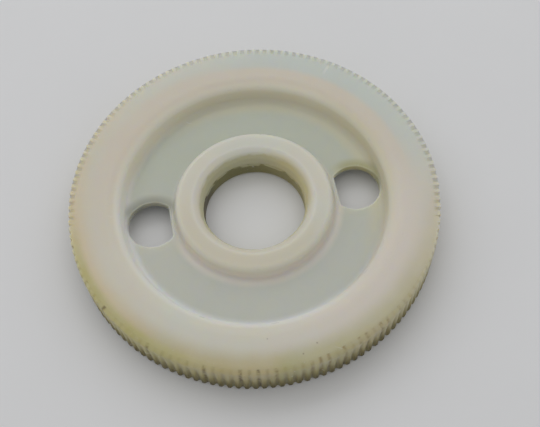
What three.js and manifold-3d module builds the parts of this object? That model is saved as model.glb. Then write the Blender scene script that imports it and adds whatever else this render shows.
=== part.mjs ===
// A moulded plastic spur gear with a recessed web, a raised hub, a stepped bore and two D-shaped drive holes.
// Millimetres, +Z up. The gear's axis is Z, its underside is at Z = 0, and the D holes lie on the X axis.
import * as THREE from 'three';
import { mergeVertices } from 'three/addons/utils/BufferGeometryUtils.js';
import Module from 'manifold-3d';

// Toothed rim
const MODULE = 0.6;
const TEETH = 140;
const TIP_RADIUS = MODULE * (TEETH + 2) / 2;
const TOOTH_DEPTH = 0.64;
const TIP_SHARE = 0.3;
const ROOT_SHARE = 0.8;
const FACE_WIDTH = 10;

// Upper recess between the rim and the hub
const CROWN_RADIUS = 34.6;
const CROWN_RUN = 3.9;
const CROWN_DROP = 2.4;
const WALL_RUN = 0.3;
const RIM_FOOT_RUN = 1.8;
const RIM_FOOT_RISE = 1.8;
const WEB_TOP = 5;
const WEB_BOTTOM = 3.2;

// Hub
const HUB_TOP = 8.4;
const HUB_RADIUS = 18.4;
const HUB_DRAFT = 0.3;
const HUB_FOOT = 0.8;
const HUB_EDGE_OUTER = 1.4;
const HUB_EDGE_INNER = 2.4;

// Bore
const BORE_UPPER_RADIUS = 12;
const BORE_LOWER_RADIUS = 11.8;
const BORE_STEP_HEIGHT = 4.2;
const BORE_CHAMFER = 0.6;

// Lower recess
const LOWER_CROWN_RADIUS = 32.6;
const LOWER_CROWN_RUN = 1.6;
const LOWER_CROWN_DROP = 0.8;
const LOWER_WALL_RUN = 0.4;
const LOWER_FOOT_RUN = 2.2;
const LOWER_FOOT_RISE = 1.7;

// D-shaped drive holes, one on each side of the bore
const HOLE_OFFSET = 24.1;
const HOLE_RADIUS = 5.8;
const FLAT_OFFSET = 19.8;

// Mesh fineness and how far a cutter reaches past the face that it opens
const TURN_STEPS = TEETH / 2;
const ROUND_STEPS = 3;
const HOLE_STEPS = 24;
const REACH = 2;

const QUARTER = Math.PI / 2;

const wasm = await Module();
wasm.setup();

// Points along part of an ellipse in the radius and height plane.
function arc(radius, height, halfWidth, halfHeight, from, to, steps = ROUND_STEPS) {
  const points = [];
  for (let i = 0; i <= steps; i += 1) {
    const angle = from + (to - from) * i / steps;
    points.push([radius + halfWidth * Math.cos(angle), height + halfHeight * Math.sin(angle)]);
  }
  return points;
}

// The point reached by carrying the line from a to b on to the given height.
function carryOn(a, b, height) {
  const share = (height - b[1]) / (b[1] - a[1]);
  return [b[0] + (b[0] - a[0]) * share, height];
}

// A closed mesh as a solid, with its shared vertices merged and its zero-width triangles dropped.
function solid(geometry) {
  const bare = geometry.clone();
  bare.deleteAttribute('normal');
  bare.deleteAttribute('uv');
  const merged = mergeVertices(bare);
  const index = merged.index.array;
  const triangles = [];
  for (let i = 0; i < index.length; i += 3) {
    const [a, b, c] = [index[i], index[i + 1], index[i + 2]];
    if (a !== b && b !== c && c !== a) {
      triangles.push(a, b, c);
    }
  }
  const vertProperties = new Float32Array(merged.attributes.position.array);
  const triVerts = new Uint32Array(triangles);
  return new wasm.Manifold(new wasm.Mesh({ numProp: 3, vertProperties, triVerts }));
}

// A solid as a three.js geometry.
function geometryOf(shape) {
  const mesh = shape.getMesh();
  const geometry = new THREE.BufferGeometry();
  geometry.setAttribute('position', new THREE.BufferAttribute(new Float32Array(mesh.vertProperties), 3));
  geometry.setIndex(new THREE.BufferAttribute(new Uint32Array(mesh.triVerts), 1));
  geometry.computeVertexNormals();
  return geometry;
}

// A solid turned about the Z axis from a list of radius and height pairs.
function turned(profile) {
  const geometry = new THREE.LatheGeometry(profile.map(([r, z]) => new THREE.Vector2(r, z)), TURN_STEPS);
  return solid(geometry.rotateX(QUARTER));
}

// The full disc with its ring of straight teeth. One tooth is centred on the +X axis.
function toothedDisc() {
  const pitch = 2 * Math.PI / TEETH;
  const rootRadius = TIP_RADIUS - TOOTH_DEPTH;
  const corners = [
    [rootRadius, -ROOT_SHARE / 2],
    [TIP_RADIUS, -TIP_SHARE / 2],
    [TIP_RADIUS, TIP_SHARE / 2],
    [rootRadius, ROOT_SHARE / 2],
  ];
  const outline = [];
  for (let tooth = 0; tooth < TEETH; tooth += 1) {
    for (const [radius, share] of corners) {
      const angle = (tooth + share) * pitch;
      outline.push(new THREE.Vector2(radius * Math.cos(angle), radius * Math.sin(angle)));
    }
  }
  return solid(new THREE.ExtrudeGeometry(new THREE.Shape(outline), { depth: FACE_WIDTH, bevelEnabled: false }));
}

// Everything above the gear's upper surface, from the rim's crown to the hub, and the bore right through.
function upperCutter() {
  const hubFootRadius = HUB_RADIUS + HUB_DRAFT;
  const wallTopRadius = CROWN_RADIUS - CROWN_RUN;
  const wallTop = FACE_WIDTH - CROWN_DROP;
  const wallFootRadius = wallTopRadius - WALL_RUN;
  const wallFoot = WEB_TOP + RIM_FOOT_RISE;
  const chamferEnd = [BORE_LOWER_RADIUS, BORE_CHAMFER];
  const chamferStart = [BORE_LOWER_RADIUS + BORE_CHAMFER, 0];
  const crown = arc(CROWN_RADIUS, wallTop, CROWN_RUN, CROWN_DROP, 2 * QUARTER, QUARTER);
  const crownLead = carryOn(crown.at(-2), crown.at(-1), FACE_WIDTH + REACH / 10);
  return turned([
    [0, -REACH],
    carryOn(chamferEnd, chamferStart, -REACH),
    chamferEnd,
    [BORE_LOWER_RADIUS, BORE_STEP_HEIGHT],
    [BORE_UPPER_RADIUS, BORE_STEP_HEIGHT],
    ...arc(
      BORE_UPPER_RADIUS + HUB_EDGE_INNER, HUB_TOP - HUB_EDGE_INNER,
      HUB_EDGE_INNER, HUB_EDGE_INNER, 2 * QUARTER, QUARTER,
    ),
    ...arc(
      HUB_RADIUS - HUB_EDGE_OUTER, HUB_TOP - HUB_EDGE_OUTER,
      HUB_EDGE_OUTER, HUB_EDGE_OUTER, QUARTER, 0,
    ),
    ...arc(hubFootRadius + HUB_FOOT, WEB_TOP + HUB_FOOT, HUB_FOOT, HUB_FOOT, 2 * QUARTER, 3 * QUARTER, 2),
    ...arc(wallFootRadius - RIM_FOOT_RUN, wallFoot, RIM_FOOT_RUN, RIM_FOOT_RISE, -QUARTER, 0),
    ...crown,
    crownLead,
    [crownLead[0], FACE_WIDTH + REACH],
    [0, FACE_WIDTH + REACH],
  ]);
}

// The ring-shaped recess under the web.
function lowerCutter() {
  const hubFootRadius = HUB_RADIUS + HUB_DRAFT;
  const wallRadius = LOWER_CROWN_RADIUS - LOWER_CROWN_RUN;
  const wallFootRadius = wallRadius - LOWER_WALL_RUN;
  const wallFoot = WEB_BOTTOM - LOWER_FOOT_RISE;
  const crown = arc(LOWER_CROWN_RADIUS, LOWER_CROWN_DROP, LOWER_CROWN_RUN, LOWER_CROWN_DROP, 2 * QUARTER, 3 * QUARTER);
  const crownLead = carryOn(crown.at(-2), crown.at(-1), -REACH / 10);
  const hubFoot = arc(
    hubFootRadius + HUB_FOOT, WEB_BOTTOM - HUB_FOOT, HUB_FOOT, HUB_FOOT, QUARTER, 2 * QUARTER, 2,
  );
  const rimFoot = arc(wallFootRadius - LOWER_FOOT_RUN, wallFoot, LOWER_FOOT_RUN, LOWER_FOOT_RISE, 0, QUARTER);
  const hubLead = carryOn(hubFoot.at(-1), [HUB_RADIUS, 0], -REACH);
  const profile = [
    hubLead,
    [crownLead[0], -REACH],
    crownLead,
    ...crown.reverse(),
    ...rimFoot,
    ...hubFoot,
    hubLead,
  ];
  return turned(profile);
}

// A round hole with a flat side that faces the hub, on the given side of the axis (1 or -1).
function driveHole(side) {
  const half = Math.acos((FLAT_OFFSET - HOLE_OFFSET) / HOLE_RADIUS);
  const points = arc(HOLE_OFFSET, 0, HOLE_RADIUS, HOLE_RADIUS, -half, half, HOLE_STEPS);
  const shape = new THREE.Shape(points.map(([x, y]) => new THREE.Vector2(x, y)));
  const geometry = new THREE.ExtrudeGeometry(shape, { depth: FACE_WIDTH + 2 * REACH, bevelEnabled: false });
  geometry.translate(0, 0, -REACH);
  if (side < 0) {
    geometry.rotateZ(2 * QUARTER);
  }
  return solid(geometry);
}

function spurGear() {
  let body = toothedDisc();
  for (const cutter of [upperCutter(), lowerCutter(), driveHole(1), driveHole(-1)]) {
    body = body.subtract(cutter);
  }
  const nylon = new THREE.MeshStandardMaterial({ color: 0xd6d2bd, roughness: 0.5, metalness: 0 });
  const mesh = new THREE.Mesh(geometryOf(body), nylon);
  mesh.name = 'spur_gear';
  return mesh;
}

const gear = new THREE.Group();
gear.add(spurGear());

export default gear;
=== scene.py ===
"""A moulded nylon spur gear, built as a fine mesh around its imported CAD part.

The scene is in metres, and the dimensions below are in millimetres. +Z is up, the gear's axis is Z and its
underside is Z = 0. Directions round the axis are in degrees from +X. The front is at -90 and the back at 90.
"""

import math

import bpy
import numpy as np
from mathutils import Matrix, Vector


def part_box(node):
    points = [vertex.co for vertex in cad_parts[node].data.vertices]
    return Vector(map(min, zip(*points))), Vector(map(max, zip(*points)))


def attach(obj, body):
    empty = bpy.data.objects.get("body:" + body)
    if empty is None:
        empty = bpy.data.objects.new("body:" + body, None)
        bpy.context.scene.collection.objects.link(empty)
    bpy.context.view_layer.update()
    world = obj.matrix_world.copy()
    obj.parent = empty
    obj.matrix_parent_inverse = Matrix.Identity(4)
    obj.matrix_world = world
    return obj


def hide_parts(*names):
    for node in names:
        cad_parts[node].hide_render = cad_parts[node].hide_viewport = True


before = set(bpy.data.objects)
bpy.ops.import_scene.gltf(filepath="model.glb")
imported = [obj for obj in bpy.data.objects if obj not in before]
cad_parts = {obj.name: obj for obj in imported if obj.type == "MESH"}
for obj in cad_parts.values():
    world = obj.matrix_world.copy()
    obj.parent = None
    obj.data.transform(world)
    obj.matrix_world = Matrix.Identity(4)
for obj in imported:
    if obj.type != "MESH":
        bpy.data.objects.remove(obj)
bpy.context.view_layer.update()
gear_low, gear_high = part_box("spur_gear")

MM = 0.001

# ---------------------------------------------------------------- dimensions, in millimetres

FACE_WIDTH = gear_high.z / MM
TIP_RADIUS = gear_high.x / MM
TOOTH_DEPTH = 0.64
TEETH = 140
PITCH_ANGLE = 2 * math.pi / TEETH

# One tooth, from root to root: its place along the pitch and its share of the tooth depth.
TOOTH_SHAPE = [
    (-0.50, 0.00), (-0.435, 0.02), (-0.375, 0.11), (-0.30, 0.40), (-0.21, 0.76), (-0.145, 0.95),
    (0.00, 1.00), (0.145, 0.95), (0.21, 0.76), (0.30, 0.40), (0.375, 0.11), (0.435, 0.02),
]
# How far teeth differ: the most that wear takes off one, as a share of the depth, and the usual lean, as a
# share of the pitch.
TOOTH_WEAR, TOOTH_LEAN = 0.035, 0.006
# How many gaps are dirty, the most dirt in a clean gap and the least in a dirty one. 1 is the most.
DIRTY_GAPS, CLEAN_MOST, DIRTY_LEAST = 44, 0.25, 0.4

# The toothed wall has a fine grid, and the turned faces a coarser one. They meet on the seam.
FINE = TEETH * len(TOOTH_SHAPE)
FINE_PER_COARSE = 4
COARSE = FINE // FINE_PER_COARSE
COARSE_PER_TOOTH = COARSE // TEETH
COARSE_ANGLES = (np.arange(COARSE) / COARSE_PER_TOOTH - 0.5) * PITCH_ANGLE
SEAM_RADIUS = 40.7
# The fine grid's first ring, on the underside.
TOOTHED_INNER = 41.2

# The rim's upper face rolls down towards the teeth. From the hub to the rim it also sinks a little, unevenly.
ROLL_START, ROLL_END, ROLL_DROP = 36.8, 41.8, 0.22
SINK_DEPTH = 0.02
SINK_FULL_FROM, SINK_FULL_TO, SINK_END = 20.0, 38.5, 40.0

# The toothed corner is worn round at the front and sharp at the back, and the teeth fade towards it. The
# blend softens the line where the corner cuts across the teeth.
CORNER_WORN, CORNER_SHARP = 1.25, 0.22
CORNER_UNEVEN = 0.15
CORNER_BLEND = 0.14
WORN_TOWARDS = -100
FADE_START, FADE_END, FADE_SHARE = FACE_WIDTH - 9.0, FACE_WIDTH - 0.5, 0.82
LOWER_CORNER = 0.35

CROWN_RADIUS, CROWN_RUN, CROWN_DROP = 34.6, 3.9, 2.4
RIM_FOOT_RADIUS, RIM_FOOT_RUN, RIM_FOOT_RISE = 28.6, 1.8, 1.8
WEB_TOP, WEB_BOTTOM = 5.0, 3.2
HUB_TOP, HUB_RADIUS, HUB_DRAFT, HUB_FOOT = 8.4, 18.4, 0.3, 0.8
HUB_FOOT_RADIUS = HUB_RADIUS + HUB_DRAFT + HUB_FOOT
HUB_EDGE = 1.4
HUB_EDGE_LOWER = 0.35
BORE_UPPER, BORE_LOWER, BORE_STEP, BORE_CHAMFER = 12.0, 11.8, 4.2, 0.6
BORE_EDGE_ROUND = 0.28
LOWER_CROWN_RADIUS, LOWER_CROWN_RUN, LOWER_CROWN_DROP = 32.6, 1.6, 0.8
LOWER_FOOT_RADIUS, LOWER_FOOT_RUN, LOWER_FOOT_RISE = 28.4, 2.2, 1.7

# A faint raised line at the recess's edge: its row of the upper section, its height, its direction, its
# spread in radians and the strength of its painted highlight, where the other corners reach 1 at most.
RIDGE_ROW, RIDGE_HEIGHT, RIDGE_TOWARDS, RIDGE_SPREAD, RIDGE_PAINTED_HIGHLIGHT = 21, 0.12, -143, 0.16, 1.6

# The bore's step is ragged: how near it a row has to be, and how far that row strays up or down and inwards.
RAGGED_REACH, RAGGED_HEIGHT, RAGGED_DEPTH = 0.12, 0.09, 0.03

# The D holes. Their two corners are rounded in plan, and their edges are rounded over.
HOLE_OFFSET, HOLE_RADIUS, HOLE_FLAT = 24.1, 5.8, 19.8
HOLE_CORNER = 0.55
HOLE_EDGE = 0.3

# The patch of web round each D hole: its half width in pitches, its radii, its rings and how they crowd.
PATCH_HALF_PITCHES = 7.5
PATCH_INNER, PATCH_OUTER = 18.94, 30.58
PATCH_RINGS = 16
PATCH_EASE = 0.8

# Corners that rub pale: radius, height and width.
RUBBED_CORNERS = [(31.35, 8.75, 0.9), (18.0, 8.0, 0.7), (14.1, 8.3, 0.5), (30.9, 0.4, 0.7), (18.3, 0.1, 0.6)]

# ---------------------------------------------------------------- small helpers


def arc(radius, height, run, rise, start, stop, steps):
    """Points on part of an ellipse in the radius and height plane, from one angle to another in degrees."""
    angles = np.radians(np.linspace(start, stop, steps + 1))
    return [(radius + run * math.cos(a), height + rise * math.sin(a)) for a in angles]


def rounded_path(points, reach, steps=4):
    """A path through points whose inner corners are rounded, starting each round this far from its corner."""
    path = [points[0]]
    for before, corner, after in zip(points, points[1:], points[2:]):
        a, b, c = (np.array(p, float) for p in (before, corner, after))
        start = b + (a - b) / np.linalg.norm(a - b) * reach
        stop = b + (c - b) / np.linalg.norm(c - b) * reach
        for t in np.linspace(0, 1, steps + 1):
            path.append(tuple((1 - t) ** 2 * start + 2 * t * (1 - t) * b + t**2 * stop))
    path.append(points[-1])
    return path


def smooth(low, high, value):
    """0 below low, 1 above high, and a smooth ramp in between."""
    t = np.clip((value - low) / (high - low), 0, 1)
    return t * t * (3 - 2 * t)


def bell(centre, width, value):
    """1 at the centre, falling smoothly to 0."""
    return np.exp(-(((value - centre) / width) ** 2))


def wave_noise(angles, seed, waves, lowest=2):
    """A smooth closed noise round the axis, from -1 to 1, made of this many waves."""
    rng = np.random.default_rng(seed)
    total = np.zeros_like(angles)
    for k in range(lowest, lowest + waves):
        total += rng.normal() / math.sqrt(k) * np.cos(k * angles + rng.uniform(0, 2 * math.pi))
    return total / np.abs(total).max()


# ---------------------------------------------------------------- the turned section


def roll(radius):
    """How far the rim's upper face has rolled down towards the teeth at this radius."""
    t = np.clip((radius - ROLL_START) / (ROLL_END - ROLL_START), 0, 1)
    return ROLL_DROP * t**2


def upper_section():
    """Radius and height pairs of the upper face, inwards from the rim to the hub's top."""
    points = [(r, FACE_WIDTH - roll(r)) for r in (SEAM_RADIUS, 39.8, 39.0, 38.2, 37.4, 36.4, 35.5)]
    points += arc(CROWN_RADIUS, FACE_WIDTH - CROWN_DROP, CROWN_RUN, CROWN_DROP, 90, 174, 16)
    points += [(PATCH_OUTER, 7.3), (30.38, 6.85)]
    points += arc(RIM_FOOT_RADIUS, WEB_TOP + RIM_FOOT_RISE, RIM_FOOT_RUN, RIM_FOOT_RISE, -20, -90, 9)
    points += [(r, WEB_TOP) for r in (28.3, 27.9, 27.4, 26.8, 26.0, 25.2, 24.2, 23.0, 21.8, 20.8, 19.9)]
    points += arc(HUB_FOOT_RADIUS, WEB_TOP + HUB_FOOT, HUB_FOOT, HUB_FOOT, 270, 180, 6)
    points += arc(HUB_RADIUS - HUB_EDGE, HUB_TOP - HUB_EDGE, HUB_EDGE, HUB_EDGE, 0, 90, 10)
    points += [(16.2, HUB_TOP), (15.5, HUB_TOP)]
    return points


def bore_section():
    """The hub's inner edge, the stepped bore and the chamfer under it."""
    bevel = [(14.8, HUB_TOP), (14.2, HUB_TOP - 0.02), (12.95, 7.75)]
    bevel += [(BORE_UPPER + 0.12, 6.4), (BORE_UPPER, 5.2)]
    points = rounded_path(bevel, BORE_EDGE_ROUND)
    points += [(BORE_UPPER, 4.8), (BORE_UPPER, BORE_STEP + 0.1)]
    points += [(BORE_UPPER - 0.03, BORE_STEP + 0.02), (BORE_LOWER + 0.04, BORE_STEP - 0.02)]
    points += [(BORE_LOWER, z) for z in (BORE_STEP - 0.08, 3.8, 2.9, 1.9, BORE_CHAMFER + 0.1)]
    points += [(BORE_LOWER + 0.05, BORE_CHAMFER - 0.05)]
    points += [(BORE_LOWER + BORE_CHAMFER - 0.06, 0.04), (BORE_LOWER + BORE_CHAMFER + 0.08, 0.0)]
    return points


def lower_section():
    """Radius and height pairs of the underside, outwards from the hub to the rim."""
    web = (19.9, 20.4, 21.2, 22.2, 23.2, 24.2, 25.2, 26.0, 26.8, 27.4, 27.8, 28.15)
    points = [(r, 0.0) for r in (13.0, 14.2, 15.6, 17.2)]
    points += arc(HUB_RADIUS - HUB_EDGE_LOWER, HUB_EDGE_LOWER, HUB_EDGE_LOWER, HUB_EDGE_LOWER, -90, 0, 4)
    points += arc(HUB_FOOT_RADIUS, WEB_BOTTOM - HUB_FOOT, HUB_FOOT, HUB_FOOT, 180, 90, 6)
    points += [(r, WEB_BOTTOM) for r in web]
    points += arc(LOWER_FOOT_RADIUS, WEB_BOTTOM - LOWER_FOOT_RISE, LOWER_FOOT_RUN, LOWER_FOOT_RISE, 90, 20, 9)
    points += [(PATCH_OUTER, 1.7)]
    points += arc(LOWER_CROWN_RADIUS, LOWER_CROWN_DROP, LOWER_CROWN_RUN, LOWER_CROWN_DROP, 190, 270, 7)
    points += [(r, 0.0) for r in (33.4, 35.0, 37.0, 39.0, SEAM_RADIUS)]
    return points


def section_marks(radius, height, upper):
    """What each part of the turned surface is, for the material."""
    on_web = smooth(18.9, 20.0, radius) * (1 - smooth(28.6, 30.4, radius))
    on_wall = smooth(26.8, 28.8, radius) * (1 - smooth(31.2, 33.2, radius))
    in_bore = (1 - smooth(12.1, 13.3, radius)) * (height > 0.2)
    in_band = (radius < BORE_UPPER - 0.02) * (height < BORE_STEP + 0.05) * (height > 0.2)
    edge = sum(bell(r, w, radius) * bell(h, w, height) for r, h, w in RUBBED_CORNERS)
    return {
        "web": on_web * (1.0 if upper else 0.8),
        "wall": on_wall * (1.0 if upper else 0.5),
        "bore": in_bore,
        "band": in_band,
        "edge": np.clip(edge, 0, 1),
    }


# ---------------------------------------------------------------- the teeth's outline and dirt


def tooth_outline():
    """Radii and angles round the teeth. Each tooth is a little different from its neighbours."""
    rng = np.random.default_rng(11)
    worn = 1 - TOOTH_WEAR * rng.random(TEETH)
    lean = TOOTH_LEAN * rng.normal(size=TEETH)
    radii, angles = [], []
    for tooth in range(TEETH):
        for place, share in TOOTH_SHAPE:
            radii.append(TIP_RADIUS - TOOTH_DEPTH * (1 - share * worn[tooth]))
            angles.append((tooth + place + lean[tooth] * share) * PITCH_ANGLE)
    return np.array(radii), np.array(angles)


def dirt_by_tooth():
    """How much dirt each gap between two teeth holds. The dirty gaps hold more than the rest."""
    rng = np.random.default_rng(17)
    dirt = CLEAN_MOST * rng.random(TEETH)
    dirt[rng.choice(TEETH, DIRTY_GAPS, replace=False)] = rng.uniform(DIRTY_LEAST, 1.0, DIRTY_GAPS)
    return dirt


# ---------------------------------------------------------------- the mesh


class Shell:
    """Points, faces and a few named values at each point."""

    MARKS = ("web", "wall", "bore", "band", "tooth", "gap", "root", "edge")

    def __init__(self):
        self.points = []
        self.faces = []
        self.marks = {name: [] for name in self.MARKS}

    def ring(self, xs, ys, zs, **marks):
        """Adds a ring of points and returns their numbers. A mark that isn't given is 0."""
        first = len(self.points)
        zs = np.broadcast_to(zs, np.shape(xs))
        self.points.extend(zip(xs, ys, zs))
        for name in self.MARKS:
            self.marks[name].extend(np.broadcast_to(marks.get(name, 0.0), np.shape(xs)))
        return list(range(first, first + len(xs)))

    def strip(self, a, b, skip=()):
        """Joins two closed rings of the same length with quads. Columns in skip stay open."""
        n = len(a)
        for j in range(n):
            if j not in skip:
                k = (j + 1) % n
                self.faces.append((a[j], a[k], b[k], b[j]))

    def widen(self, coarse, fine):
        """Joins a coarse ring to a fine one outside it, on the underside."""
        for a, b, c in self.fan(coarse, fine):
            self.faces.append((a, c, b))

    def narrow(self, fine, coarse):
        """Joins a fine ring to a coarse one inside it, on the upper face."""
        self.faces.extend(self.fan(coarse, fine))

    @staticmethod
    def fan(coarse, fine):
        """Triangles between a coarse ring and a fine one, anticlockwise seen from above."""
        n = len(coarse)
        for j in range(n):
            c0, c1 = coarse[j], coarse[(j + 1) % n]
            f = [fine[(FINE_PER_COARSE * j + i) % len(fine)] for i in range(FINE_PER_COARSE + 1)]
            half = FINE_PER_COARSE // 2
            for i in range(half):
                yield (c0, f[i], f[i + 1])
            yield (c0, f[half], c1)
            for i in range(half, FINE_PER_COARSE):
                yield (c1, f[i], f[i + 1])


def turned_rings(shell, section, upper):
    """A ring of points for each pair of a section, with its sunk face, raised line and ragged step."""
    sunk = SINK_DEPTH * (wave_noise(COARSE_ANGLES, seed=5, waves=7) + 1)
    signed_angles = (COARSE_ANGLES + math.pi) % (2 * math.pi) - math.pi
    ridge = bell(math.radians(RIDGE_TOWARDS), RIDGE_SPREAD, signed_angles)
    rings = []
    for row, (r, z) in enumerate(section):
        radii, heights = np.full(COARSE, float(r)), np.full(COARSE, float(z))
        marks = section_marks(r, z, upper)
        if upper:
            sink_share = smooth(HUB_RADIUS, SINK_FULL_FROM, r) * (1 - smooth(SINK_FULL_TO, SINK_END, r))
            heights = heights - sunk * sink_share
        # The raised line is given a painted highlight through the edge mark.
        if upper and row == RIDGE_ROW:
            radii = radii - RIDGE_HEIGHT * ridge
            heights = heights + RIDGE_HEIGHT * ridge
            marks["edge"] = np.maximum(marks["edge"], RIDGE_PAINTED_HIGHLIGHT * ridge)
        if abs(z - BORE_STEP) < RAGGED_REACH:
            inwards = 1 + wave_noise(COARSE_ANGLES, seed=22, waves=80, lowest=25)
            heights = heights + RAGGED_HEIGHT * wave_noise(COARSE_ANGLES, seed=21, waves=40, lowest=12)
            radii = radii - RAGGED_DEPTH * inwards * (r > BORE_LOWER)
        xs, ys = radii * np.cos(COARSE_ANGLES), radii * np.sin(COARSE_ANGLES)
        rings.append(shell.ring(xs, ys, heights, **marks))
    return rings


def add_teeth(shell, lower_seam, upper_seam):
    """The toothed wall, from the underside's seam up to the upper face's. The blank's corners are rounded."""
    radii, angles = tooth_outline()
    share = (radii - (TIP_RADIUS - TOOTH_DEPTH)) / TOOTH_DEPTH
    worn_side = smooth(-0.1, 0.8, np.cos(angles - math.radians(WORN_TOWARDS)))
    corner = CORNER_SHARP + (CORNER_WORN - CORNER_SHARP) * worn_side
    corner = corner * (1 + CORNER_UNEVEN * wave_noise(angles, seed=41, waves=9))
    centre = TIP_RADIUS - corner
    top = FACE_WIDTH - roll(centre)
    wall_top = top - corner
    past_tips = TIP_RADIUS + 1.0
    dirt = dirt_by_tooth()[np.floor(angles / PITCH_ANGLE).astype(int) % TEETH]

    def toothed_ring(limit, heights, worn=0.0):
        """A ring that follows the teeth, cut back to the blank's own radius at this height."""
        filled = FADE_SHARE * worn_side * smooth(FADE_START, FADE_END, heights)
        cut = TIP_RADIUS - (TIP_RADIUS - radii) * (1 - filled)
        gap = np.clip(0.5 + 0.5 * (limit - cut) / CORNER_BLEND, 0, 1)
        r = limit * (1 - gap) + cut * gap - CORNER_BLEND * gap * (1 - gap)
        below_corner = limit > TIP_RADIUS - 0.4 * corner
        return shell.ring(
            r * np.cos(angles),
            r * np.sin(angles),
            heights,
            tooth=1.0,
            gap=gap * (TIP_RADIUS - r) / TOOTH_DEPTH * below_corner,
            root=(1 - share) ** 2 * dirt,
            edge=worn * share * (1 - 0.9 * worn_side),
        )

    def plain_ring(radius, height, tooth):
        return shell.ring(radius * np.cos(angles), radius * np.sin(angles), height, tooth=tooth)

    rows = [plain_ring(TOOTHED_INNER, 0.0, tooth=0.3)]
    for a in np.radians([80, 60, 40, 20, 0]):
        limit = TIP_RADIUS - LOWER_CORNER * (1 - math.cos(a))
        rows.append(toothed_ring(limit, LOWER_CORNER * (1 - math.sin(a))))
    for t in np.linspace(0, 1, 8)[1:-1]:
        rows.append(toothed_ring(past_tips, LOWER_CORNER + (wall_top - LOWER_CORNER) * t))
    for a in np.radians([0, 10, 20, 29, 37, 45, 52, 59, 66, 73, 81]):
        limit = centre + corner * math.cos(a)
        rows.append(toothed_ring(limit, wall_top + corner * math.sin(a), math.sin(2 * a)))
    rows.append(plain_ring(centre - 0.02, top, tooth=0.55))
    shell.widen(lower_seam, rows[0])
    for a, b in zip(rows, rows[1:]):
        shell.strip(a, b)
    shell.narrow(rows[-1], upper_seam)


def d_outline(side, grow, flat_count, round_count):
    """The D hole's outline grown outwards, anticlockwise, from one end of the round side."""
    cx = HOLE_FLAT + HOLE_CORNER
    cy = math.sqrt((HOLE_RADIUS - HOLE_CORNER) ** 2 - (cx - HOLE_OFFSET) ** 2)
    turn = math.atan2(cy, cx - HOLE_OFFSET)
    around = np.linspace(-turn, turn, round_count + 1)
    reach = HOLE_RADIUS + grow
    points = [(HOLE_OFFSET + reach * math.cos(a), reach * math.sin(a)) for a in around]
    corner_steps = 4
    corner = HOLE_CORNER + grow
    for a in np.linspace(turn, math.pi, corner_steps + 1)[1:]:
        points.append((cx + corner * math.cos(a), cy + corner * math.sin(a)))
    straight = flat_count - 2 * corner_steps
    for y in np.linspace(cy, -cy, straight + 1)[1:]:
        points.append((HOLE_FLAT - grow, y))
    for a in np.linspace(-math.pi, -turn, corner_steps + 1)[1:-1]:
        points.append((cx + corner * math.cos(a), -cy + corner * math.sin(a)))
    xy = np.array(points) * side
    return xy[:, 0], xy[:, 1]


def patch_border(rings, rows, columns):
    """Point numbers round a patch of the turned grid, anticlockwise from the first column's inner corner."""
    outer, inner = rows
    first, last = columns
    step = 1 if inner > outer else -1
    across = range(outer, inner + step, step)
    loop = [rings[i][first % COARSE] for i in reversed(across)]
    loop += [rings[outer][j % COARSE] for j in range(first + 1, last)]
    loop += [rings[i][last % COARSE] for i in across]
    loop += [rings[inner][j % COARSE] for j in range(last - 1, first, -1)]
    return loop


def add_hole(shell, side, columns, top, low):
    """One D hole: a patch of the upper face, the wall with its rounded edges, and a patch of the underside.

    top and low each hold a section, its rings and the rows that the patch takes.
    """
    width = columns[1] - columns[0]

    def height_of(section):
        """The section's height at any radius across the patch."""
        pairs = sorted((r, z) for r, z in section if PATCH_INNER - 1 < r < PATCH_OUTER + 1)
        radii, heights = np.array(pairs).T
        return lambda radius: np.interp(radius, radii, heights)

    def flat_rings(loop, z_of, shares):
        """Rings that turn the patch's border into the hole's edge, by each share of the way."""
        start = np.array([shell.points[i] for i in loop])
        hole_x, hole_y = d_outline(side, HOLE_EDGE, width, round_count)
        rings = []
        for t in shares:
            x = start[:, 0] * (1 - t) + hole_x * t
            y = start[:, 1] * (1 - t) + hole_y * t
            r = np.hypot(x, y)
            rings.append(shell.ring(x, y, z_of(r), **section_marks(r, z_of(r), True)))
        return rings

    def edge_rings(z_of, sign, degrees):
        """Rings round the hole's rounded edge, upper (1) or lower (-1)."""
        rings = []
        for a in np.radians(degrees):
            x, y = d_outline(side, HOLE_EDGE * (1 - math.sin(a)), width, round_count)
            z = z_of(np.hypot(x, y)) - sign * HOLE_EDGE * (1 - math.cos(a))
            rings.append(shell.ring(x, y, z, web=0.6, edge=0.5 * math.sin(2 * a)))
        return rings

    top_section, top_rings, top_rows = top
    low_section, low_rings, low_rows = low
    top_loop = patch_border(top_rings, top_rows, columns)
    low_loop = patch_border(low_rings, low_rows, columns)
    round_count = len(top_loop) - width
    z_top, z_low = height_of(top_section), height_of(low_section)
    shares = np.linspace(0, 1, PATCH_RINGS + 1)[1:] ** PATCH_EASE
    rings = [top_loop]
    rings += flat_rings(top_loop, z_top, shares)
    rings += edge_rings(z_top, 1, [22, 45, 68, 90])
    rings += edge_rings(z_low, -1, [90, 68, 45, 22])
    rings += flat_rings(low_loop, z_low, shares[::-1])
    rings.append(low_loop)
    for a, b in zip(rings, rings[1:]):
        shell.strip(a, b)


def hole_columns():
    """The first and last grid column of each D hole's patch, on +X and then on -X."""
    half = int(PATCH_HALF_PITCHES * COARSE_PER_TOOTH)
    spans = []
    for start in (0, COARSE // 2):
        first = int(round(start + COARSE_PER_TOOTH / 2 - half - 0.5))
        spans.append((first, first + 2 * half + 1))
    return spans


def nearest_row(section, radius):
    """The first row of a section whose radius is nearest to this one."""
    return min(range(len(section)), key=lambda i: abs(section[i][0] - radius))


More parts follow.
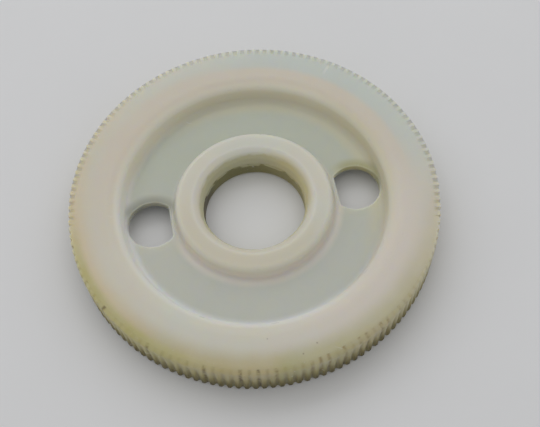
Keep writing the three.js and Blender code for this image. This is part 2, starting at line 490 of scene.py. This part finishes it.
def build_gear():
    """The whole closed surface of the gear."""
    shell = Shell()
    upper, bore, lower = upper_section(), bore_section(), lower_section()
    upper_rings = turned_rings(shell, upper, True)
    bore_rings = turned_rings(shell, bore, False)
    lower_rings = turned_rings(shell, lower, False)

    spans = hole_columns()
    skip = {j % COARSE for first, last in spans for j in range(first, last)}
    upper_rows = (nearest_row(upper, PATCH_OUTER), nearest_row(upper, PATCH_INNER))
    lower_rows = (nearest_row(lower, PATCH_OUTER), nearest_row(lower, PATCH_INNER))
    for i, (a, b) in enumerate(zip(upper_rings, upper_rings[1:])):
        shell.strip(a, b, skip if upper_rows[0] <= i < upper_rows[1] else ())
    shell.strip(upper_rings[-1], bore_rings[0])
    for a, b in zip(bore_rings, bore_rings[1:]):
        shell.strip(a, b)
    shell.strip(bore_rings[-1], lower_rings[0])
    for i, (a, b) in enumerate(zip(lower_rings, lower_rings[1:])):
        shell.strip(a, b, skip if lower_rows[1] <= i < lower_rows[0] else ())

    add_teeth(shell, lower_rings[-1], upper_rings[0])
    for side, columns in zip((1, -1), spans):
        add_hole(shell, side, columns, (upper, upper_rings, upper_rows), (lower, lower_rings, lower_rows))
    return shell


def mesh_object(name, shell):
    """A smooth-shaded object in metres, with the shell's marks as point attributes."""
    mesh = bpy.data.meshes.new(name)
    mesh.from_pydata([tuple(MM * c for c in p) for p in shell.points], [], shell.faces)
    for mark, values in shell.marks.items():
        attribute = mesh.attributes.new(mark, "FLOAT", "POINT")
        attribute.data.foreach_set("value", np.array(values, np.float32))
    mesh.polygons.foreach_set("use_smooth", np.ones(len(mesh.polygons), bool))
    mesh.update()
    obj = bpy.data.objects.new(name, mesh)
    bpy.context.scene.collection.objects.link(obj)
    return obj


# ---------------------------------------------------------------- node helpers


class Nodes:
    """A short way to write a node tree."""

    def __init__(self, name):
        self.material = bpy.data.materials.new(name)
        self.material.use_nodes = True
        self.tree = self.material.node_tree
        self.tree.nodes.clear()
        self.where = self.add("ShaderNodeTexCoord").outputs["Object"]

    def add(self, kind, inputs=None, **settings):
        node = self.tree.nodes.new(kind)
        for key, value in settings.items():
            setattr(node, key, value)
        for key, value in (inputs or {}).items():
            self.put(node.inputs[key], value)
        return node

    def put(self, socket, value):
        """Links a socket to a socket, or sets it to a value. A colour is three numbers."""
        if isinstance(value, bpy.types.NodeSocket):
            self.tree.links.new(value, socket)
        elif socket.type == "RGBA":
            socket.default_value = (*value, 1)
        else:
            socket.default_value = value

    def mark(self, name):
        return self.add("ShaderNodeAttribute", attribute_name=name).outputs["Fac"]

    def math(self, operation, a, b):
        return self.add("ShaderNodeMath", {0: a, 1: b}, operation=operation).outputs[0]

    def product(self, first, *others):
        for other in others:
            first = self.math("MULTIPLY", first, other)
        return first

    def vector(self, operation, a, b=None, output=0):
        inputs = {0: a} if b is None else {0: a, 1: b}
        return self.add("ShaderNodeVectorMath", inputs, operation=operation).outputs[output]

    def ramp(self, value, low, high, to_low=0.0, to_high=1.0):
        """A smooth ramp from to_low, where the value is low, to to_high, where it is high."""
        inputs = {"Value": value, "From Min": low, "From Max": high, "To Min": to_low, "To Max": to_high}
        return self.add("ShaderNodeMapRange", inputs, interpolation_type="SMOOTHSTEP").outputs["Result"]

    def ramp_mm(self, value, low, high, to_low=0.0, to_high=1.0):
        """The same ramp for a value in metres, between two places in millimetres."""
        return self.ramp(value, low * MM, high * MM, to_low, to_high)

    def noise(self, scale, detail=3.0, rough=0.55, distort=0.0, where=None):
        inputs = {"Scale": scale, "Detail": detail, "Roughness": rough, "Distortion": distort}
        inputs["Vector"] = self.where if where is None else where
        return self.add("ShaderNodeTexNoise", inputs).outputs["Fac"]

    def mix(self, share, a, b):
        node = self.add("ShaderNodeMix", data_type="RGBA")
        self.put(node.inputs["Factor"], share)
        self.put(node.inputs["A"], a)
        self.put(node.inputs["B"], b)
        return node.outputs["Result"]

    def finish(self, shader_inputs):
        """Ends the tree with a Principled shader and returns the material."""
        shader = self.add("ShaderNodeBsdfPrincipled", shader_inputs)
        out = self.add("ShaderNodeOutputMaterial")
        self.tree.links.new(shader.outputs["BSDF"], out.inputs["Surface"])
        return self.material


class GearNodes(Nodes):
    """Nodes that know where a point is on the gear, with the noises that several colours share."""

    def __init__(self, name):
        super().__init__(name)
        self.height = self.add("ShaderNodeSeparateXYZ", {0: self.where}).outputs["Z"]
        self.flat = self.vector("MULTIPLY", self.where, (1, 1, 0))
        self.radius = self.vector("LENGTH", self.flat, output="Value")
        self.blotch = self.noise(38.0, 2.0)
        self.mottle = self.noise(160.0, 4.0)
        self.speck = self.noise(2600.0, 2.0)
        self.grain = self.noise(1500.0, 4.0, 0.6)
        self.scratch = self.scratches()

    def by_radius(self, low, high):
        """0 to 1 from one distance from the axis to another, in millimetres."""
        return self.ramp_mm(self.radius, low, high)

    def facing(self, degrees, low, high, where=None):
        """0 to 1 round the axis, 1 on the side that faces this direction. low and high are cosines."""
        flat = self.vector("MULTIPLY", self.where if where is None else where, (1, 1, 0))
        turn = math.radians(degrees)
        towards = (math.cos(turn), math.sin(turn), 0)
        cosine = self.vector("DOT_PRODUCT", self.vector("NORMALIZE", flat), towards, "Value")
        return self.ramp(cosine, low, high)

    def scratches(self):
        """Faint thin lines in two directions, broken up into short lengths."""
        lines = 0.0
        for turn, width in ((25, 900.0), (-50, 700.0)):
            spin = self.add("ShaderNodeVectorRotate", {"Vector": self.where, "Angle": math.radians(turn)})
            long = self.vector("MULTIPLY", spin.outputs[0], (0.06, 1, 1))
            thin = self.noise(width, 1.0, 0.4, 0.2, long)
            lines = self.math("MAXIMUM", lines, self.ramp(thin, 0.735, 0.785))
        return self.math("MULTIPLY", lines, self.ramp(self.noise(90.0, 1.0), 0.5, 0.65, 0.0, 0.5))


# ---------------------------------------------------------------- the nylon's colours, with painted light and shade, in linear RGB

IVORY_WARM, IVORY_COOL, IVORY_MOTTLE = (0.725, 0.700, 0.595), (0.695, 0.705, 0.620), (0.730, 0.675, 0.580)
# The third rim tone is a painted sheen.
RIM_WARM, RIM_PINK, RIM_PAINTED_SHEEN = (0.730, 0.655, 0.540), (0.770, 0.700, 0.610), (0.635, 0.680, 0.625)
HUB_CREAM = (0.690, 0.645, 0.510)
# The yellowed rim's tones also carry painted shade.
AGED_SHADE_WARM, AGED_SHADE_COOL = (0.560, 0.490, 0.275), (0.530, 0.500, 0.280)
AGED_SHADE_LEFT, AGED_SHADE_OLIVE = (0.720, 0.600, 0.390), (0.530, 0.500, 0.210)

# Painted light on the recess's wall and foot and on the hub's foot, painted shade at the recess's foot and
# behind the holes, and the web's own tones.
WALL_PAINTED_GLOW, WALL_PAINTED_GLOW_RIGHT = (0.830, 0.785, 0.640), (0.740, 0.685, 0.480)
WEB_FRONT, WEB_BACK = (0.590, 0.600, 0.530), (0.540, 0.570, 0.470)
RECESS_FOOT_PAINTED_WARM_SHADE = (0.700, 0.655, 0.480)
RECESS_FOOT_LIT, RECESS_WALL_LIT = (0.720, 0.720, 0.660), (0.900, 0.895, 0.840)
HUB_FOOT_PAINTED_LIGHT = (0.830, 0.765, 0.670)
RIGHT_HOLE_PAINTED_SHADE, LEFT_HOLE_PAINTED_SHADE = (0.430, 0.415, 0.215), (0.330, 0.335, 0.280)

# Painted light and painted shade in the bore.
BORE_LIT, BORE_PAINTED_SHADE, BORE_PAINTED_LIGHT_RIGHT = (0.670, 0.610, 0.400), (0.585, 0.560, 0.350), (0.670, 0.600, 0.330)
BAND_PAINTED_SHADE, BAND_PAINTED_SHADE_RIGHT, BAND_PAINTED_SHADE_LEFT = (0.215, 0.200, 0.075), (0.300, 0.265, 0.110), (0.090, 0.070, 0.040)

# Painted shade on the toothed wall and in its gaps, and the grime's own tones.
TEETH_PAINTED_SHADE, TEETH_FOOT_PAINTED_SHADE, TEETH_GAP_PAINTED_SHADE = (0.215, 0.180, 0.045), (0.060, 0.046, 0.010), (0.520, 0.465, 0.240)
GRIME_DARK, GRIME_BROWN = (0.170, 0.120, 0.050), (0.290, 0.185, 0.075)

# The rubbed tone also serves as a painted highlight; then dots, scratches and specks.
RUBBED_AND_HIGHLIGHT, DOT, SCRATCHED = (0.760, 0.745, 0.680), (0.240, 0.190, 0.120), (0.800, 0.790, 0.740)
SPECK_DARK, SPECK_PALE = (0.46, 0.42, 0.33), (0.80, 0.79, 0.73)

# ---------------------------------------------------------------- the nylon's material


def body_colour(n):
    """The body wanders between a warmer and a cooler ivory."""
    colour = n.mix(n.ramp(n.blotch, 0.38, 0.62), IVORY_WARM, IVORY_COOL)
    return n.mix(n.ramp(n.mottle, 0.3, 0.8, 0.0, 0.35), colour, IVORY_MOTTLE)


def rim_hub_colour_and_sheen(n, colour):
    """The rim is warm except at the front and pinkish at the front right, with a painted sheen, cooler in
    tone, at the back right.

    The hub is creamy at the front.
    """
    on_rim = n.by_radius(29.0, 31.0)
    warm = n.product(n.facing(85, -0.9, 0.5), n.by_radius(39.5, 36.0), on_rim, 0.8)
    colour = n.mix(warm, colour, RIM_WARM)
    pink = n.product(n.facing(-45, 0.5, 1.0), on_rim, 0.8)
    colour = n.mix(pink, colour, RIM_PINK)
    # Painted sheen: the back right of the rim is cooler in tone where it would catch the light.
    painted_sheen = n.product(n.facing(50, 0.5, 1.0), n.by_radius(35.5, 37.5), 0.8)
    colour = n.mix(painted_sheen, colour, RIM_PAINTED_SHEEN)
    creamy = n.product(n.facing(-110, -0.2, 0.8), n.by_radius(19.0, 18.0), 0.8)
    return n.mix(creamy, colour, HUB_CREAM)


def aged_and_shaded_colour(n, colour):
    """The rim has yellowed towards the teeth, and painted shade darkens it there too, both most on the left
    and at the front.
    """
    uneven = n.ramp(n.mottle, 0.2, 0.8, 0.75, 1.0)
    aged_and_shaded = n.product(n.facing(240, -0.8, 0.9), n.by_radius(36.0, 41.2), uneven)
    tone = n.mix(n.ramp(n.blotch, 0.42, 0.56), AGED_SHADE_WARM, AGED_SHADE_COOL)
    tone = n.mix(n.facing(170, 0.3, 0.95), tone, AGED_SHADE_LEFT)
    olive = n.product(n.facing(212, 0.75, 0.98), n.by_radius(39.5, 41.2), 0.8)
    tone = n.mix(olive, tone, AGED_SHADE_OLIVE)
    return n.mix(aged_and_shaded, colour, tone)


def recess_colour_light_and_shade(n, colour):
    """The recess's wall glows with painted light where light comes through the rim. The thin web is greyer
    and greener.
    """
    painted_glow = n.mix(n.facing(5, 0.6, 0.98), WALL_PAINTED_GLOW, WALL_PAINTED_GLOW_RIGHT)
    colour = n.mix(n.product(n.mark("wall"), n.facing(90, -0.75, 0.2)), colour, painted_glow)
    web = n.mix(n.facing(75, -0.6, 0.7), WEB_FRONT, WEB_BACK)
    colour = n.mix(n.product(n.mark("web"), 0.85), colour, web)

    # Painted shade with warm reflected light makes the foot of the wall warmer and darker at the back right,
    # and painted light makes it paler at the front left.
    warm = n.product(n.facing(45, -0.1, 0.7), n.by_radius(25.5, 28.5), n.by_radius(31.8, 30.4), 0.7)
    colour = n.mix(warm, colour, RECESS_FOOT_PAINTED_WARM_SHADE)
    lit = n.product(n.facing(-130, 0.1, 0.7), n.by_radius(28.2, 29.4), n.by_radius(32.6, 30.8), 0.9)
    lit_tone = n.mix(n.by_radius(28.9, 30.1), RECESS_FOOT_LIT, RECESS_WALL_LIT)
    colour = n.mix(lit, colour, lit_tone)

    # Painted light makes the hub's foot paler and pinkish at the front.
    pale = n.product(n.facing(-85, -0.1, 0.5), n.by_radius(18.1, 18.7), n.by_radius(21.4, 19.7), 0.8)
    return n.mix(pale, colour, HUB_FOOT_PAINTED_LIGHT)


def hole_painted_shade(n, colour):
    """Painted shade darkens the web behind each drive hole, and is yellowish behind the right one."""
    for side, degrees, shade in ((1, 55, RIGHT_HOLE_PAINTED_SHADE), (-1, 92, LEFT_HOLE_PAINTED_SHADE)):
        offset = n.vector("SUBTRACT", n.flat, (side * HOLE_OFFSET * MM, 0, 0))
        away = n.vector("LENGTH", offset, output="Value")
        near = n.ramp_mm(away, 8.6, 6.2)
        on_web = n.ramp_mm(n.height, 6.6, 5.4)
        colour = n.mix(n.product(n.facing(degrees, 0.1, 0.8, offset), near, on_web, 0.8), colour, shade)
    return colour


def bore_light_and_shade(n, colour):
    """The bore's wall is olive with painted shade, with a dark, ragged band of painted shade low down.
    Painted light makes its upper edge and its wall warm and lighter on the right.
    """
    lit = n.product(n.facing(20, 0.5, 0.95), n.by_radius(14.2, 12.8), 0.75)
    colour = n.mix(lit, colour, BORE_LIT)
    olive = n.mix(n.facing(15, 0.5, 1.0), BORE_PAINTED_SHADE, BORE_PAINTED_LIGHT_RIGHT)
    ragged = n.product(n.math("SUBTRACT", n.noise(380.0, 3.0, 0.6), 0.5), 0.9)
    in_bore = n.ramp(n.math("ADD", n.mark("bore"), ragged), 0.35, 0.75, 0.0, 0.85)
    colour = n.mix(n.product(in_bore, n.ramp(n.mark("bore"), 0.0, 0.2)), colour, olive)

    # Painted shade on the bore's low band, lighter on the right and darkest on the left.
    band = n.mix(n.facing(30, 0.5, 0.95), BAND_PAINTED_SHADE, BAND_PAINTED_SHADE_RIGHT)
    band = n.mix(n.facing(175, 0.7, 0.95), band, BAND_PAINTED_SHADE_LEFT)
    band_top = n.ramp(n.noise(230.0, 2.0, 0.5), 0.35, 0.65, 3.4 * MM, 4.6 * MM)
    below_top = n.ramp_mm(n.math("SUBTRACT", n.height, band_top), 0.2, -0.2, 0.35, 0.95)
    return n.mix(n.product(n.mark("band"), below_top), colour, band)


def teeth_shade_and_dirt(n, colour):
    """Painted shade darkens the toothed wall downwards, most at the front left, and makes its gaps yellowish
    and darker. Some gaps are dirty.
    """
    # Painted shade, darker downwards and darkest near the foot at the front left.
    down = n.product(n.ramp_mm(n.height, 10.0, 0.0, 0.16, 1.0), n.facing(240, -1.2, 0.4))
    colour = n.mix(n.product(n.mark("tooth"), down), colour, TEETH_PAINTED_SHADE)
    foot = n.product(n.ramp_mm(n.height, 6.2, 0.0, 0.0, 0.85), n.facing(245, -0.1, 0.7))
    colour = n.mix(n.product(n.mark("tooth"), foot), colour, TEETH_FOOT_PAINTED_SHADE)
    # Painted shade, yellowish and darker deep in the gaps between teeth.
    colour = n.mix(n.product(n.mark("gap"), 0.6), colour, TEETH_GAP_PAINTED_SHADE)
    patchy = n.ramp(n.noise(520.0, 3.0, 0.6), 0.42, 0.62, 0.15, 0.95)
    grime = n.product(n.mark("root"), patchy, n.facing(240, -0.1, 0.5))
    grime_tone = n.mix(n.ramp(n.blotch, 0.44, 0.56), GRIME_DARK, GRIME_BROWN)
    return n.mix(grime, colour, grime_tone)


def wear_and_highlight_colour(n, colour):
    """Corners rubbed paler, a paler painted highlight on the raised line at the recess's edge, a few dark
    dots, faint scratches, and fine dark and light grains.
    """
    # The edge mark lays on rubbed corners and the raised line's painted highlight alike.
    colour = n.mix(n.product(n.mark("edge"), 0.45), colour, RUBBED_AND_HIGHLIGHT)
    cells = n.add("ShaderNodeTexVoronoi", {"Vector": n.where, "Scale": 300.0}, feature="F1")
    chosen = n.add("ShaderNodeSeparateColor", {0: cells.outputs["Color"]}).outputs[0]
    dot_size = n.ramp(chosen, 0.965, 1.0, 0.0, 0.065)
    in_dot = n.math("LESS_THAN", cells.outputs["Distance"], dot_size)
    colour = n.mix(n.product(in_dot, n.ramp(n.grain, 0.3, 0.6, 0.2, 0.6)), colour, DOT)
    colour = n.mix(n.scratch, colour, SCRATCHED)
    colour = n.mix(n.ramp(n.speck, 0.66, 0.78, 0.0, 0.22), colour, SPECK_DARK)
    return n.mix(n.ramp(n.speck, 0.34, 0.22, 0.0, 0.20), colour, SPECK_PALE)


# The colours over the body's own, each laid over the ones before it. Several hold painted light and shade.
TINTS = (
    rim_hub_colour_and_sheen,
    aged_and_shaded_colour,
    recess_colour_light_and_shade,
    hole_painted_shade,
    bore_light_and_shade,
    teeth_shade_and_dirt,
    wear_and_highlight_colour,
)


def nylon_material():
    """Natural nylon that has yellowed: colour by place with painted light and shade, uneven gloss, fine
    grain, and light that seeps in.
    """
    n = GearNodes("natural_nylon")
    colour = body_colour(n)
    for tint in TINTS:
        colour = tint(n, colour)
    roughness = n.ramp(n.mottle, 0.25, 0.75, 0.40, 0.54)
    roughness = n.math("SUBTRACT", roughness, n.product(n.mark("edge"), 0.16))
    relief = n.math("ADD", n.product(n.grain, 0.35), n.noise(240.0, 3.0))
    relief = n.math("SUBTRACT", relief, n.scratch)
    bump = n.add("ShaderNodeBump", {"Strength": 0.35, "Distance": 0.12 * MM, "Height": relief})
    return n.finish({
        "Base Color": colour,
        "Roughness": roughness,
        "IOR": 1.53,
        "Specular IOR Level": 0.36,
        "Subsurface Weight": 1.0,
        "Subsurface Radius": (1.0, 0.82, 0.45),
        "Subsurface Scale": 3.4 * MM,
        "Normal": bump.outputs["Normal"],
    })


def floor_material():
    """A plain pale floor with a faint unevenness."""
    n = Nodes("pale_floor")
    tone = n.mix(n.noise(30.0, 3.0), (0.82, 0.815, 0.805), (0.85, 0.845, 0.835))
    return n.finish({"Base Color": tone, "Roughness": 0.8, "Specular IOR Level": 0.2})


# ---------------------------------------------------------------- the object

gear = mesh_object("gear_body", build_gear())
gear.data.materials.append(nylon_material())
weighted = gear.modifiers.new("even_normals", "WEIGHTED_NORMAL")
weighted.keep_sharp = True
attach(gear, "root")
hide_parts("spur_gear")

# ---------------------------------------------------------------- floor and light, in metres

FLOOR_HALF = 1.5
FLOOR_GAP = 0.00002
ROOM_COLOUR, ROOM_STRENGTH = (0.94, 0.96, 1.0, 1), 0.44
LIGHT_AIM = Vector((0, 0, 0))

floor_mesh = bpy.data.meshes.new("floor")
floor_corners = [(x * FLOOR_HALF, y * FLOOR_HALF, 0.0) for x, y in ((-1, -1), (1, -1), (1, 1), (-1, 1))]
floor_mesh.from_pydata(floor_corners, [], [(0, 1, 2, 3)])
floor = bpy.data.objects.new("floor", floor_mesh)
floor.data.materials.append(floor_material())
floor.location.z = gear_low.z - FLOOR_GAP
bpy.context.scene.collection.objects.link(floor)

world = bpy.data.worlds.new("soft_room")
world.use_nodes = True
background = world.node_tree.nodes["Background"]
background.inputs["Color"].default_value = ROOM_COLOUR
background.inputs["Strength"].default_value = ROOM_STRENGTH
bpy.context.scene.world = world


def area_light(name, place, size, power, colour):
    """A rectangle of light that faces the gear."""
    data = bpy.data.lights.new(name, "AREA")
    data.shape = "RECTANGLE"
    data.size, data.size_y = size
    data.energy = power
    data.color = colour
    light = bpy.data.objects.new(name, data)
    light.location = place
    light.rotation_euler = (LIGHT_AIM - Vector(place)).to_track_quat("-Z", "Y").to_euler()
    bpy.context.scene.collection.objects.link(light)


area_light("window", place=(-0.06, 0.50, 0.55), size=(1.8, 0.5), power=1.9, colour=(0.97, 0.98, 1.0))
area_light("ceiling", place=(0.0, 0.12, 0.8), size=(0.9, 0.9), power=1.1, colour=(1.0, 0.98, 0.95))

# ---------------------------------------------------------------- camera, where the photograph was taken from

CAMERA_PLACE = Vector((-9.11, -99.70, 182.45)) * MM
CAMERA_AIM = Vector((2.80, -5.58, 10.0)) * MM
CAMERA_ROLL = math.radians(-4.18)
SENSOR_WIDTH, FOCAL_LENGTH = 36.0, 58.13
CLIP_START, CLIP_END = 0.01, 10.0

camera_data = bpy.data.cameras.new("camera")
camera_data.sensor_width = SENSOR_WIDTH
camera_data.lens = FOCAL_LENGTH
camera_data.clip_start = CLIP_START
camera_data.clip_end = CLIP_END
camera = bpy.data.objects.new("camera", camera_data)
ahead = (CAMERA_AIM - CAMERA_PLACE).normalized()
level = ahead.cross(Vector((0, 0, 1))).normalized()
upright = level.cross(ahead)
right = level * math.cos(CAMERA_ROLL) + upright * math.sin(CAMERA_ROLL)
above = right.cross(ahead)
axes = Matrix((right, above, -ahead)).transposed().to_4x4()
camera.matrix_world = Matrix.Translation(CAMERA_PLACE) @ axes
bpy.context.scene.collection.objects.link(camera)
bpy.context.scene.camera = camera
bpy.context.scene.view_settings.view_transform = "Standard"
